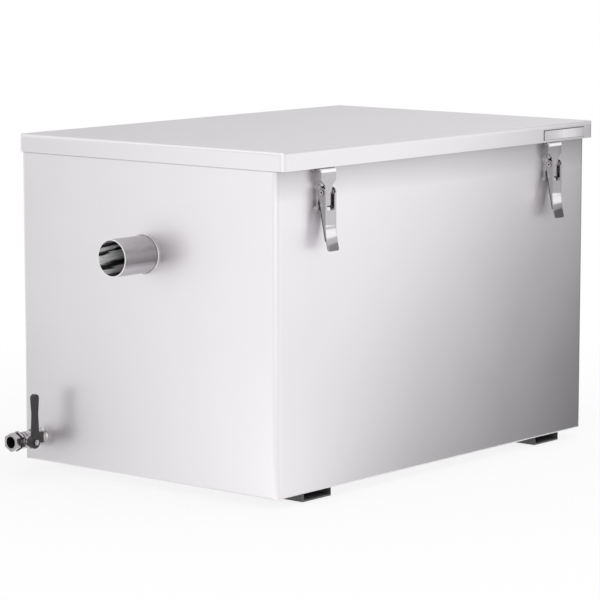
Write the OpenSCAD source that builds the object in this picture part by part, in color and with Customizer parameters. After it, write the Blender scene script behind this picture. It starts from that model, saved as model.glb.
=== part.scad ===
// Grease trap: a folded sheet tank on block feet, with a hinged lid held down by two draw latches,
// pipe stubs at both ends, a lever drain valve, and a strainer basket and baffle plates inside.
// Millimetres. +Z is up, -Y is the front with the latches, -X is the inlet end, the floor is z = 0.

/* [Tank] */
// Outside length of the tank along X
tank_w = 700; // [560:5:1000]
// Outside depth of the tank along Y
tank_d = 464; // [380:2:700]
// Height of the tank from its underside to its top flange
tank_h = 451; // [400:1:600]
// Sheet thickness of tank and lid
sheet = 1.5; // [1:0.1:2]
// Outside radius of the upright corners
corner_r = 9; // [5:0.5:20]
// Outside radius of the bottom fold
base_r = 3.5; // [2.5:0.5:8]
// Width of the inward flange round the opening
flange_w = 20; // [17:1:40]
// Corner radius of the opening
open_r = 8; // [3:0.5:30]

/* [Feet] */
// Height of a foot
foot_h = 13; // [8:0.5:40]
// Length of a foot along X
foot_w = 60; // [40:1:90]
// Depth of a foot along Y
foot_d = 46; // [30:1:80]
// Corner radius of a foot
foot_r = 1.5; // [1:0.1:2]
// Wall of the box section
foot_wall = 2.2; // [2:0.1:3.5]
// Distance from the inlet end of the tank to the middle of its feet
foot_end_left = 94; // [60:1:180]
// Distance from the outlet end of the tank to the middle of its feet
foot_end_right = 76; // [60:1:180]
// Set-back of a foot from the front and back of the tank
foot_inset = 9; // [4:0.5:40]

/* [Lid] */
// Height of the lid's skirt
skirt_h = 25; // [22:0.5:40]
// Outside radius of the fold round the lid's top
fold_r = 5; // [3:0.5:10]
// Radius of the lid's corners in plan
lid_corner_r = 8; // [4:0.5:16]
// Overhang of the lid over the front wall
front_over = 13.5; // [12:0.5:20]
// Gap between the tank and the lid's side and back skirts
skirt_gap = 0.5; // [0.4:0.1:2]
// Thickness of the gasket
gasket_t = 4.2; // [2:0.1:8]
// Width of the gasket
gasket_w = 13; // [8:0.5:13.5]
// Gap between the gasket and the tank's flange
seat_gap = 0.3; // [0.3:0.05:1]

/* [Blank plate] */
// Length of the plate on the lid's front
plate_w = 98; // [50:1:160]
// Height of the plate
plate_h = 13; // [6:0.5:13.5]
// Thickness of the plate
plate_t = 0.8; // [0.4:0.1:1.5]
// Distance from the plate's end to the end of the lid
plate_end = 26; // [12:1:80]
// Height of the plate's lower edge over the skirt's edge
plate_up = 3.5; // [1:0.5:3.5]

/* [Pipes] */
// Outside diameter of the inlet and outlet stubs
pipe_od = 51; // [32:0.5:76]
// Wall of the stubs
pipe_t = 1.5; // [1:0.1:3]
// Length of a stub outside the wall
pipe_out = 64; // [40:1:120]
// Length of a stub inside the tank, wall included
pipe_in = 12; // [6:0.5:14]
// Leg of the weld round a stub
weld_leg = 1.6; // [1:0.1:5]
// Height of the inlet's centre over the floor
inlet_z = 320; // [300:1:360]
// Fall from the inlet's centre to the outlet's centre
outlet_fall = 30; // [0:1:80]

/* [Hinges] */
// Distance from the end of the lid to the middle of a hinge
hinge_end = 132; // [112:1:240]
// Length of a hinge
hinge_w = 66; // [40:1:100]
// Thickness of a hinge leaf
leaf_t = 2; // [1.5:0.1:2.5]
// Height of the lid's leaf over the skirt's edge
lid_leaf_h = 15; // [8:0.5:16.5]
// Height of the tank's leaf under the pin
tank_leaf_h = 30; // [22:0.5:60]
// Radius of a hinge pin
hinge_pin_r = 2.5; // [1.5:0.1:3]
// Drop of the pin under the skirt's edge
hinge_drop = 5.4; // [5.3:0.1:9]
// Radial clearance of turning pins
run_gap = 0.05; // [0.02:0.01:0.1]
// End clearance of turning pieces
end_gap = 0.4; // [0.3:0.05:1]

/* [Latches] */
// Distance from the end of the tank to the middle of a latch
latch_end = 92; // [70:1:220]
// Outside width of a latch lever
lever_w = 22.5; // [20:0.5:30]
// Sheet thickness of lever, base, hook and catch
latch_t = 1.5; // [1:0.1:1.6]
// Drop of the lever's fulcrum under the skirt's edge
fulcrum_drop = 33; // [32:0.5:45]
// Distance of the fulcrum from the tank's front
fulcrum_out = 9.5; // [9:0.1:12]
// Radius of the lever's cheeks round the fulcrum
cheek_r = 6.2; // [6:0.1:8]
// Outside radius of the hollow fulcrum rivets
fulcrum_r = 2.6; // [2:0.1:3]
// Bore radius of the hollow fulcrum rivets
fulcrum_bore = 1.5; // [0.8:0.1:1.6]
// Height of a rivet's head
rivet_head = 0.7; // [0.4:0.1:1.2]
// Distance from the fulcrum to the hook's pin
draw_r = 17; // [15:0.5:22]
// Set-back of the hook's pin behind the fulcrum, which makes the latch lock over centre
over_centre = 0.7; // [0.3:0.1:1.5]
// Radius of the hook's pin
draw_pin_r = 1.75; // [1.2:0.05:2]
// Length of the lever's flat face under the hook's pin
lever_flat = 28; // [24:0.5:40]
// Gap from the hook's pin down to the lever's face plate
web_drop = 6.4; // [6:0.1:10]
// Radius of the outward curl at the lever's tip
curl_r = 170; // [90:1:260]
// Length of the curl
curl_h = 32; // [15:0.5:40]
// Angle of the crease where the curl starts
curl_kink = 4; // [0:0.5:8]
// Width of the hook's head
head_w = 30.5; // [28:0.5:44]
// Height of the hook's head
head_h = 16; // [10:0.5:16]
// Height of the hook's sloping shoulders
shoulder_h = 7.5; // [4:0.5:8]
// Gap between hook and skirt, and between hook and catch
hook_gap = 0.9; // [0.9:0.05:2]
// Radius of the hook's top bend
bend_r = 4; // [2.5:0.1:4]
// Width of the catch under the lid
catch_w = 26; // [16:0.5:30]
// Distance of the catch from the tank's front
catch_out = 2.5; // [1:0.1:2.6]
// Side clearance between hook, base ears and lever
ear_gap = 0.45; // [0.3:0.05:0.8]
// Height of the latch base
base_h = 38; // [36:1:60]

/* [Drain valve] */
// Distance of the drain from the back of the tank
drain_back = 35; // [28:0.5:120]
// Height of the drain's centre over the tank's underside
drain_up = 35; // [26:0.5:80]
// Length of the welded socket outside the wall
socket_l = 14; // [8:0.5:30]
// Outside radius of the socket
socket_r = 10.5; // [9:0.1:11]
// Bore radius of the socket
drain_bore = 7; // [5:0.1:7.5]
// Width across flats of the valve body's hexagons
body_af = 25; // [24.5:0.5:30]
// Radius of the valve body's barrel
barrel_r = 11.6; // [11.5:0.1:14]
// Width of a groove round the barrel
groove_w = 1.8; // [1:0.1:2.5]
// Depth of a groove round the barrel
groove_t = 1.2; // [0.5:0.1:1.5]
// Length of the inlet hexagon
body_hex_l = 8; // [5:0.5:14]
// Length of the barrel
barrel_l = 24; // [22:0.5:34]
// Length of the outlet ring
ring_l = 4; // [3:0.5:8]
// Radius of the ball
ball_r = 8.5; // [7.5:0.1:9]
// Bore radius of the ball
ball_bore = 5.5; // [3.5:0.1:5.6]
// Width across flats of the outlet piece
end_af = 23; // [20:0.5:28]
// Length of the outlet piece's hexagon
end_hex_l = 8; // [5:0.5:16]
// Length of the outlet piece's neck
end_neck_l = 3; // [1.5:0.5:8]
// Bore radius of the outlet
outlet_r = 8; // [6:0.1:9]
// Radius of the valve stem
stem_r = 3; // [2.5:0.1:3.5]
// Distance from the drain's axis to the end of the stem boss
boss_l = 15.5; // [15:0.1:20]
// Height of the packing nut
pack_h = 3.5; // [2:0.1:6]
// Radius of the lever's hub
hub_r = 9; // [8:0.1:12]
// Thickness of the lever's hub
hub_t = 6; // [5.5:0.1:10]
// Thickness of the lever's arm
arm_t = 5; // [3:0.1:5.5]
// Width of the lever's arm under its grip
arm_w = 8.4; // [7:0.1:12]
// Width of the lever's arm at its hub
arm_root = 12; // [8:0.1:16]
// Width of the lever's grip
grip_w = 11.4; // [9:0.1:16]
// Length over which the grip tapers into the arm
grip_l = 18; // [12:0.5:28]
// Reach of the lever from the stem to its tip
arm_l = 67; // [45:0.5:100]
// Set-off of the arm from the stem towards the tank
arm_off = 1.5; // [0:0.1:3]
// Reach of the stop tab from the stem
tab_l = 16; // [12:0.5:20]
// Height of the stop tab
tab_h = 15; // [8:0.5:16]

/* [Strainer basket] */
// Length of the basket along X
basket_l = 160; // [100:1:170]
// Depth of the basket along Y
basket_d = 230; // [160:1:260]
// Height of the basket
basket_h = 150; // [80:1:170]
// Corner radius of the basket
basket_r = 14; // [6:0.5:30]
// Sheet thickness of the basket
basket_t = 1.2; // [0.8:0.1:1.5]
// Width of the basket's rim
basket_lip = 12; // [8:0.5:15]
// Drop of the basket's rim under the inlet's lower edge
basket_drop = 10; // [5:0.5:30]
// Gap between the basket's rim and the end wall
basket_gap = 4; // [2:0.5:20]
// Radius of a strainer hole
strain_r = 5; // [2:0.1:7]
// Pitch of the strainer holes
strain_p = 21; // [18:0.5:30]
// Radius of the handle's wire
wire_r = 2; // [1.5:0.1:3]
// Height of the handle's straight legs
leg_h = 18; // [14:0.5:40]
// Length of the rails that carry the basket
rail_l = 190; // [150:1:195]
// Leg of the rails
rail_leg = 16; // [13:0.5:25]

/* [Baffles] */
// Distance from the inlet wall to the first baffle
baffle_in = 215; // [205:1:300]
// Distance from the outlet wall to the second baffle
baffle_out = 120; // [60:1:200]
// Gap under the baffles
baffle_gap = 70; // [40:1:120]
// Gap between the baffles' top and the tank's flange
baffle_top = 55; // [35:1:120]
// Width of a finger slot
slot_w = 90; // [60:1:140]
// Height of a finger slot
slot_h = 24; // [16:0.5:40]
// Depth of the guide channels
guide_d = 12; // [8:0.5:20]
// Sheet thickness of the guide channels
guide_t = 1; // [0.8:0.1:2]
// Play of a baffle in its guides
guide_play = 1; // [0.4:0.1:2]

/* [Hidden] */
$fn = 64;
e = 0.5;
z0 = foot_h;
z_flange = z0 + tank_h;
z_lid = z_flange + seat_gap + gasket_t;
z_top = z_lid + sheet;
z_rim = z_top - skirt_h;
side_over = skirt_gap + sheet;
lid_w = tank_w + 2 * side_over;
lid_d = tank_d + front_over + side_over;
lid_y = (side_over - front_over) / 2;
gasket_in = fold_r - sheet - skirt_gap + seat_gap;
hinge_x = lid_w / 2 - hinge_end;
latch_x = tank_w / 2 - latch_end;

// The hinge pin lies behind the lid's back skirt and under its edge
knuckle_r = hinge_pin_r + leaf_t;
knuckle_y = tank_d / 2 + side_over + knuckle_r;
knuckle_z = z_rim - hinge_drop;

// Latch values, outward from the tank's front and up from the skirt's edge
fulcrum = [fulcrum_out, -fulcrum_drop];
draw = [fulcrum_out - over_centre, -fulcrum_drop - draw_r];
eye_r = draw_pin_r + run_gap + latch_t;
hook_face = draw[0] + eye_r;
lever_face = fulcrum_out + cheek_r;
web_top = draw[1] - web_drop;
curl_top = draw[1] - lever_flat;
curl_c = [lever_face + curl_r * cos(curl_kink), curl_top + curl_r * sin(curl_kink)];
curl_a = asin(sin(curl_kink) + curl_h / curl_r);
tip_out = curl_c[0] - curl_r * cos(curl_a);
cheek_in = lever_w / 2 - latch_t;
ear_out = cheek_in - ear_gap;
ear_in = ear_out - latch_t;
neck_w = 2 * (ear_in - ear_gap);
ear_r = fulcrum_r + 2;
rail_in = neck_w / 2 + ear_gap;
rail_t = cheek_r - ear_r - end_gap;

// The row's origin is the middle of the whole footprint, latches and hinges included
shift_y = (tip_out - (knuckle_y + knuckle_r - tank_d / 2)) / 2;

// Drain valve values, outward from the tank's inlet wall
drain_y = tank_d / 2 - drain_back;
drain_z = z0 + drain_up;
hex_d0 = socket_l;
barrel_d0 = hex_d0 + body_hex_l;
ring_d0 = barrel_d0 + barrel_l;
body_d1 = ring_d0 + ring_l;
seat_r = ball_r + 0.1;
seat_bore = ball_bore + 0.2;
seat_l = 3.5;
stem_d = barrel_d0 + 0.67 * barrel_l;
seat_off = 4.5;
cavity_d0 = stem_d - seat_off - seat_l;
spigot_d0 = stem_d + seat_off + seat_l;
neck_d1 = body_d1 + end_neck_l;
mouth_d = neck_d1 + end_hex_l;
hub_y = boss_l + pack_h + end_gap;
tang_w = stem_r;
tang_l = 2;
thread_r = 2;

// Inside values
basket_x = -tank_w / 2 + sheet + basket_gap + basket_lip + basket_l / 2;
basket_top = inlet_z - pipe_od / 2 - basket_drop;
bail_r = basket_d / 2 - basket_t - 2 * wire_r;
guide_w = sheet + guide_play + 2 * guide_t;
guide_z0 = z0 + sheet + baffle_gap;
baffle_z1 = z_flange - baffle_top;
baffle_w = tank_d - 2 * (sheet + guide_t + guide_play / 2);

// Rectangle with round corners
module rrect(w, d, r) {
  square([w - 2 * r, d], center = true);
  square([w, d - 2 * r], center = true);
  for (sx = [-1, 1], sy = [-1, 1])
    translate([sx * (w / 2 - r), sy * (d / 2 - r)])
      circle(r);
}

// Upright section with its two top corners rounded
module round_top(w, h, r) {
  translate([-w / 2, 0])
    square([w, h - r]);
  translate([-w / 2 + r, 0])
    square([w - 2 * r, h]);
  for (s = [-1, 1])
    translate([s * (w / 2 - r), h - r])
      circle(r);
}

// Folded tray, open side down: a plan with round corners under a fold of its own radius
module tray(w, d, h, rc, rf) {
  intersection() {
    linear_extrude(h)
      rrect(w, d, rc);
    rotate([90, 0, 0])
      linear_extrude(d + 2, center = true)
        round_top(w, h, rf);
    rotate([90, 0, 90])
      linear_extrude(w + 2, center = true)
        round_top(d, h, rf);
  }
}

// Section drawn outward and up from the tank's front, stretched along X
module front_section(w) {
  rotate([90, 0, -90])
    linear_extrude(w, center = true)
      children();
}

// Section drawn backward and up, stretched along X
module back_section(w) {
  rotate([90, 0, 90])
    linear_extrude(w, center = true)
      children();
}

// Bar along X with its middle at the given point outward and up from the tank's front
module front_bar(p, r, l) {
  translate([0, -p[0], p[1]])
    rotate([0, 90, 0])
      cylinder(r = r, h = l, center = true);
}

module hexagon(af) {
  circle(r = af / sqrt(3), $fn = 6);
}

module inlet_end() {
  translate([-tank_w / 2, 0, inlet_z])
    rotate([0, -90, 0])
      children();
}

module outlet_end() {
  translate([tank_w / 2, 0, inlet_z - outlet_fall])
    rotate([0, 90, 0])
      children();
}

// Frame of the drain: local z is outward from the inlet wall, local x is up
module drain() {
  translate([-tank_w / 2, drain_y, drain_z])
    rotate([0, -90, 0])
      children();
}

// Frame of the valve stem: local z runs along the stem towards the front, local y is up
module stem_axis() {
  translate([-tank_w / 2 - stem_d, drain_y, drain_z])
    rotate([90, 0, 0])
      children();
}

module latch_at(s) {
  translate([s * latch_x, -tank_d / 2, z_rim])
    children();
}

module hinge_at(s) {
  translate([s * hinge_x, knuckle_y, knuckle_z])
    children();
}

module tank() {
  color([0.80, 0.80, 0.81])
  difference() {
    translate([0, 0, z_flange])
      mirror([0, 0, 1])
        tray(tank_w, tank_d, tank_h, corner_r, base_r);
    translate([0, 0, z_flange - sheet])
      mirror([0, 0, 1])
        tray(tank_w - 2 * sheet, tank_d - 2 * sheet, tank_h - 2 * sheet, corner_r - sheet, base_r - sheet);
    translate([0, 0, z_flange - 2 * sheet])
      linear_extrude(3 * sheet)
        rrect(tank_w - 2 * flange_w, tank_d - 2 * flange_w, open_r);
    inlet_end()
      cylinder(r = pipe_od / 2, h = 4 * sheet, center = true);
    outlet_end()
      cylinder(r = pipe_od / 2, h = 4 * sheet, center = true);
    drain()
      cylinder(r = socket_r, h = 4 * sheet, center = true);
  }
}

// Foot: a short box section that is open to the outside and closed at its inner end
module foot(sx, sy) {
  foot_x = sx < 0 ? -tank_w / 2 + foot_end_left : tank_w / 2 - foot_end_right;
  color([0.16, 0.16, 0.17])
  translate([foot_x, sy * (tank_d / 2 - foot_inset - foot_d / 2), 0])
  difference() {
    linear_extrude(foot_h)
      rrect(foot_w, foot_d, foot_r);
    translate([0, sy * foot_wall, foot_h / 2])
      cube([foot_w - 2 * foot_wall, foot_d, foot_h - 2 * foot_wall], center = true);
  }
}

// Pipe stub with the weld fillet round it, z = 0 on the wall's outside
module stub() {
  ro = pipe_od / 2;
  ri = ro - pipe_t;
  color([0.74, 0.74, 0.75])
  rotate_extrude()
    polygon([[ri, -pipe_in], [ro, -pipe_in], [ro, 0], [ro + weld_leg, 0], [ro, weld_leg],
             [ro, pipe_out], [ri, pipe_out]]);
}

module inlet_pipe() {
  inlet_end()
    stub();
}

module outlet_pipe() {
  outlet_end()
    stub();
}

module lid() {
  color([0.82, 0.82, 0.83])
  translate([0, lid_y, z_rim])
  difference() {
    tray(lid_w, lid_d, skirt_h, lid_corner_r, fold_r);
    translate([0, 0, -e])
      tray(lid_w - 2 * sheet, lid_d - 2 * sheet, skirt_h - sheet + e, lid_corner_r - sheet, fold_r - sheet);
  }
}

module lid_gasket() {
  color([0.10, 0.10, 0.10])
  translate([0, 0, z_flange + seat_gap])
    linear_extrude(gasket_t)
      difference() {
        rrect(tank_w - 2 * gasket_in, tank_d - 2 * gasket_in, corner_r);
        rrect(tank_w - 2 * (gasket_in + gasket_w), tank_d - 2 * (gasket_in + gasket_w), open_r / 2);
      }
}

module blank_plate() {
  color([0.88, 0.88, 0.89])
  translate([lid_w / 2 - plate_end - plate_w / 2, -tank_d / 2 - front_over, z_rim + plate_up + plate_h / 2])
    rotate([90, 0, 0])
      linear_extrude(plate_t)
        rrect(plate_w, plate_h, 1);
}

// Tank's leaf: joggled out to the pin, with an outer knuckle at each end
module hinge_tank_leaf(s) {
  out = knuckle_r;
  mid = hinge_w / 3;
  color([0.72, 0.72, 0.73])
  hinge_at(s)
  difference() {
    union() {
      back_section(hinge_w)
        polygon([[-out, 0], [-out + leaf_t, 0], [-out + leaf_t, -11], [-out - side_over + leaf_t, -14],
                 [-out - side_over + leaf_t, -tank_leaf_h], [-out - side_over, -tank_leaf_h],
                 [-out - side_over, -13], [-out, -10]]);
      rotate([0, 90, 0])
        cylinder(r = knuckle_r, h = hinge_w, center = true);
    }
    cube([mid + 2 * end_gap, 4 * knuckle_r, 2 * (knuckle_r + end_gap)], center = true);
    rotate([0, 90, 0])
      cylinder(r = hinge_pin_r, h = hinge_w + 2, center = true);
  }
}

// Lid's leaf: flat on the back skirt, with the middle knuckle
module hinge_lid_leaf(s) {
  mid = hinge_w / 3;
  color([0.72, 0.72, 0.73])
  hinge_at(s)
  difference() {
    union() {
      translate([-hinge_w / 2, -knuckle_r, hinge_drop])
        cube([hinge_w, leaf_t, lid_leaf_h]);
      translate([-mid / 2, -knuckle_r, 0])
        cube([mid, leaf_t, hinge_drop + 1]);
      rotate([0, 90, 0])
        cylinder(r = knuckle_r, h = mid, center = true);
    }
    rotate([0, 90, 0])
      cylinder(r = hinge_pin_r + run_gap, h = hinge_w + 2, center = true);
  }
}

module hinge_pin(s) {
  color([0.60, 0.60, 0.62])
  hinge_at(s)
    rotate([0, 90, 0]) {
      cylinder(r = hinge_pin_r, h = hinge_w, center = true);
      for (m = [0, 1])
        mirror([0, 0, m])
          translate([0, 0, hinge_w / 2])
            cylinder(r1 = hinge_pin_r + 1, r2 = hinge_pin_r - 0.5, h = 1.5);
    }
}

// Latch base: a folded channel on the wall, its ears carry the fulcrum pin
module latch_base(s) {
  color([0.70, 0.70, 0.71])
  latch_at(s)
  difference() {
    union() {
      translate([-ear_out, -latch_t, fulcrum[1] + 14 - base_h])
        cube([2 * ear_out, latch_t, base_h]);
      for (m = [-1, 1])
        translate([m * (ear_out - latch_t / 2), 0, 0])
          front_section(latch_t) {
            translate(fulcrum)
              circle(ear_r);
            polygon([[0, fulcrum[1] + 11], [fulcrum[0], fulcrum[1] + ear_r],
                     [fulcrum[0], fulcrum[1] - ear_r], [0, fulcrum[1] - 11]]);
          }
    }
    front_bar(fulcrum, fulcrum_r, lever_w);
  }
}

// Hollow rivet through one ear and one cheek, so the room between the ears stays free for the hook
module fulcrum_rivet(s, m) {
  rivet_end = lever_w / 2 + end_gap + rivet_head;
  color([0.62, 0.62, 0.64])
  latch_at(s)
  difference() {
    union() {
      translate([m * (ear_in + rivet_end) / 2, 0, 0])
        front_bar(fulcrum, fulcrum_r, rivet_end - ear_in);
      translate([m * (rivet_end - rivet_head / 2), 0, 0])
        front_bar(fulcrum, fulcrum_r + rivet_head, rivet_head);
    }
    front_bar(fulcrum, fulcrum_bore, lever_w + 10);
  }
}

// Lever: two tapering cheeks behind a face plate that has a slot for the hook and curls out at the tip
module latch_lever(s) {
  tip_z = curl_top - curl_h;
  face_z = curl_top - 0.6 * curl_h;
  color([0.76, 0.76, 0.77])
  latch_at(s)
  difference() {
    intersection() {
      union() {
        front_section(lever_w) {
          translate([lever_face - latch_t, curl_top])
            square([latch_t, web_top - curl_top]);
          intersection() {
            translate(curl_c)
              difference() {
                circle(curl_r + latch_t, $fn = 256);
                circle(curl_r, $fn = 256);
              }
            translate([lever_face - 4, tip_z])
              square([tip_out - lever_face + 8, curl_h]);
          }
        }
        for (m = [-1, 1]) {
          translate([m * (lever_w / 2 + rail_in) / 2, 0, 0])
            front_section(lever_w / 2 - rail_in)
              translate([lever_face - rail_t, web_top - e])
                square([rail_t, fulcrum[1] - 1 - web_top + e]);
          translate([m * (lever_w - latch_t) / 2, 0, 0])
            front_section(latch_t)
              difference() {
                union() {
                  translate(fulcrum)
                    circle(cheek_r);
                  polygon([[fulcrum[0] - cheek_r, fulcrum[1]], [lever_face, fulcrum[1]], [lever_face, curl_top],
                           [lever_face + 4, face_z], [lever_face - latch_t / 2, face_z],
                           [draw[0] - eye_r, draw[1]]]);
                }
                translate(curl_c)
                  circle(curl_r, $fn = 256);
              }
        }
      }
      translate([0, e, fulcrum[1] + cheek_r + 1])
        rotate([90, 0, 0])
          linear_extrude(tip_out + 10)
            translate([0, (tip_z - fulcrum[1] - cheek_r - 1) / 2])
              rrect(lever_w, fulcrum[1] + cheek_r + 1 - tip_z, 3);
    }
    front_bar(fulcrum, fulcrum_r + run_gap, 2 * lever_w);
    front_bar(draw, draw_pin_r, 2 * lever_w);
  }
}

module hook_pin(s) {
  color([0.62, 0.62, 0.64])
  latch_at(s)
    front_bar(draw, draw_pin_r, lever_w);
}

// Hook plate: a rolled eye on the pin, a neck between the cheeks, shoulders, a wide head bent inward
module latch_hook(s) {
  top = -hook_gap;
  sh0 = top - head_h;
  sh1 = sh0 - shoulder_h;
  color([0.78, 0.78, 0.79])
  latch_at(s)
  intersection() {
    front_section(head_w)
      difference() {
        union() {
          translate([hook_face - latch_t, draw[1]])
            square([latch_t, top - bend_r - draw[1]]);
          intersection() {
            translate([hook_face - bend_r, top - bend_r])
              difference() {
                circle(bend_r);
                circle(bend_r - latch_t);
              }
            translate([hook_face - bend_r, top - bend_r])
              square(bend_r);
          }
          translate(draw)
            circle(eye_r);
        }
        translate(draw)
          circle(draw_pin_r + run_gap);
      }
    rotate([90, 0, 0])
      linear_extrude(hook_face + e)
        polygon([[-head_w / 2, top], [head_w / 2, top], [head_w / 2, sh0], [neck_w / 2, sh1],
                 [neck_w / 2, draw[1] - eye_r - 1], [-neck_w / 2, draw[1] - eye_r - 1],
                 [-neck_w / 2, sh1], [-head_w / 2, sh0]]);
  }
}

// Catch: a strip folded from the skirt's inside down to a ledge behind the hook's bend
module lid_catch(s) {
  skirt_in = front_over - sheet;
  ledge_z = -hook_gap - latch_t - 0.5;
  ledge_out = hook_face - bend_r - end_gap;
  color([0.74, 0.74, 0.75])
  latch_at(s)
    front_section(catch_w) {
      translate([skirt_in - latch_t, 3])
        square([latch_t, 11]);
      translate([catch_out, 3])
        square([skirt_in - catch_out, latch_t]);
      translate([catch_out, ledge_z - latch_t])
        square([latch_t, 3 + latch_t - ledge_z + latch_t]);
      translate([catch_out, ledge_z - latch_t])
        square([ledge_out - catch_out, latch_t]);
    }
}

module drain_socket() {
  color([0.72, 0.72, 0.73])
  drain()
    rotate_extrude()
      polygon([[drain_bore, -3 * sheet], [socket_r, -3 * sheet], [socket_r, 0], [socket_r + 2, 0], [socket_r, 2],
               [socket_r, socket_l], [drain_bore, socket_l]]);
}

// Valve body: hexagon, barrel with the stem boss, and outlet ring round the ball's chamber
module valve_body() {
  color([0.70, 0.70, 0.71])
  difference() {
    union() {
      drain() {
        translate([0, 0, hex_d0])
          linear_extrude(body_hex_l)
            hexagon(body_af);
        translate([0, 0, barrel_d0])
          difference() {
            cylinder(r = barrel_r, h = barrel_l);
            for (g = [1, 2.6])
              translate([0, 0, barrel_l - 2 * g * groove_w])
                difference() {
                  cylinder(r = barrel_r + 1, h = groove_w);
                  translate([0, 0, -e])
                    cylinder(r = barrel_r - groove_t, h = groove_w + 2 * e);
                }
          }
        translate([0, 0, ring_d0])
          linear_extrude(ring_l)
            hexagon(body_af);
      }
      stem_axis()
        cylinder(r = stem_r + 4.5, h = boss_l);
    }
    drain() {
      translate([0, 0, hex_d0 - e])
        cylinder(r = drain_bore, h = cavity_d0 - hex_d0 + 2 * e);
      translate([0, 0, cavity_d0])
        cylinder(r = seat_r, h = body_d1 - cavity_d0 + e);
    }
    stem_axis()
      cylinder(r = stem_r + run_gap, h = boss_l + e);
  }
}

// Outlet piece: spigot against the seat, neck and hexagon with the outlet bore
module valve_end() {
  color([0.74, 0.74, 0.75])
  drain()
  difference() {
    union() {
      translate([0, 0, spigot_d0])
        cylinder(r = seat_r, h = body_d1 - spigot_d0);
      translate([0, 0, body_d1])
        cylinder(r = end_af / 2 - 1.5, h = end_neck_l);
      translate([0, 0, neck_d1])
        linear_extrude(end_hex_l)
          hexagon(end_af);
    }
    translate([0, 0, spigot_d0 - e])
      cylinder(r = seat_bore, h = mouth_d);
    translate([0, 0, body_d1 + end_neck_l / 2])
      cylinder(r = outlet_r, h = mouth_d);
  }
}

// Seat ring with the ball's hollow in it
module seat(m) {
  color([0.93, 0.93, 0.90])
  drain()
  translate([0, 0, stem_d])
  mirror([0, 0, m])
  difference() {
    translate([0, 0, seat_off])
      cylinder(r = seat_r, h = seat_l);
    translate([0, 0, seat_off - e])
      cylinder(r = seat_bore, h = seat_l + 2 * e);
    sphere(ball_r + run_gap);
  }
}

module seat_inner() {
  seat(1);
}

module seat_outer() {
  seat(0);
}

// Closed: the ball's bore stands across the drain
module valve_ball() {
  color([0.80, 0.80, 0.81])
  stem_axis()
  difference() {
    sphere(ball_r);
    rotate([90, 0, 0])
      cylinder(r = ball_bore, h = 4 * ball_r, center = true);
    translate([-tang_w / 2, -ball_r, ball_r - tang_l])
      cube([tang_w, 2 * ball_r, 2 * tang_l]);
  }
}

module valve_stem() {
  color([0.70, 0.70, 0.72])
  stem_axis() {
    intersection() {
      translate([-tang_w / 2, -stem_r, ball_r - tang_l])
        cube([tang_w, 2 * stem_r, tang_l + 1]);
      cylinder(r = stem_r, h = ball_r + 2);
    }
    translate([0, 0, ball_r + run_gap])
      cylinder(r = stem_r, h = hub_y + hub_t - ball_r - run_gap - 1);
    cylinder_from(ball_r + 2, hub_y + hub_t + 4, thread_r);
  }
}

module cylinder_from(a, b, r) {
  translate([0, 0, a])
    cylinder(r = r, h = b - a);
}

module packing_nut() {
  color([0.72, 0.72, 0.73])
  stem_axis()
  translate([0, 0, boss_l])
  difference() {
    linear_extrude(pack_h)
      hexagon(4 * stem_r);
    translate([0, 0, -e])
      cylinder(r = stem_r + run_gap, h = pack_h + 2 * e);
  }
}

// Valve lever: hub, arm with a rounded thicker tip, and a stop tab on the wall side
module drain_lever() {
  color([0.13, 0.13, 0.14])
  stem_axis()
  translate([0, 0, hub_y])
  difference() {
    union() {
      cylinder(r = hub_r, h = hub_t);
      translate([0, 0, hub_t - arm_t])
        linear_extrude(arm_t) {
          hull() {
            translate([arm_off, arm_l - grip_w / 2 - grip_l])
              circle(arm_w / 2);
            translate([arm_off, arm_root / 2])
              circle(arm_root / 2);
          }
          translate([0, -2])
            square([tab_l, tab_h]);
        }
      translate([0, 0, hub_t - arm_t - 0.5])
        linear_extrude(arm_t + 1)
          hull() {
            translate([arm_off, arm_l - grip_w / 2])
              circle(grip_w / 2);
            translate([arm_off, arm_l - grip_w / 2 - grip_l])
              circle(arm_w / 2);
          }
    }
    translate([0, 0, -e])
      cylinder(r = stem_r, h = hub_t - 1 + e);
    translate([0, 0, -e])
      cylinder(r = thread_r, h = hub_t + 2 * e);
  }
}

module lever_nut() {
  color([0.66, 0.66, 0.68])
  stem_axis()
  translate([0, 0, hub_y + hub_t])
  difference() {
    linear_extrude(3)
      hexagon(3.6 * thread_r);
    translate([0, 0, -e])
      cylinder(r = thread_r, h = 3 + 2 * e);
  }
}

// Centred row of places
function row(n, p) = [for (i = [0 : n - 1]) (i - (n - 1) / 2) * p];

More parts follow.
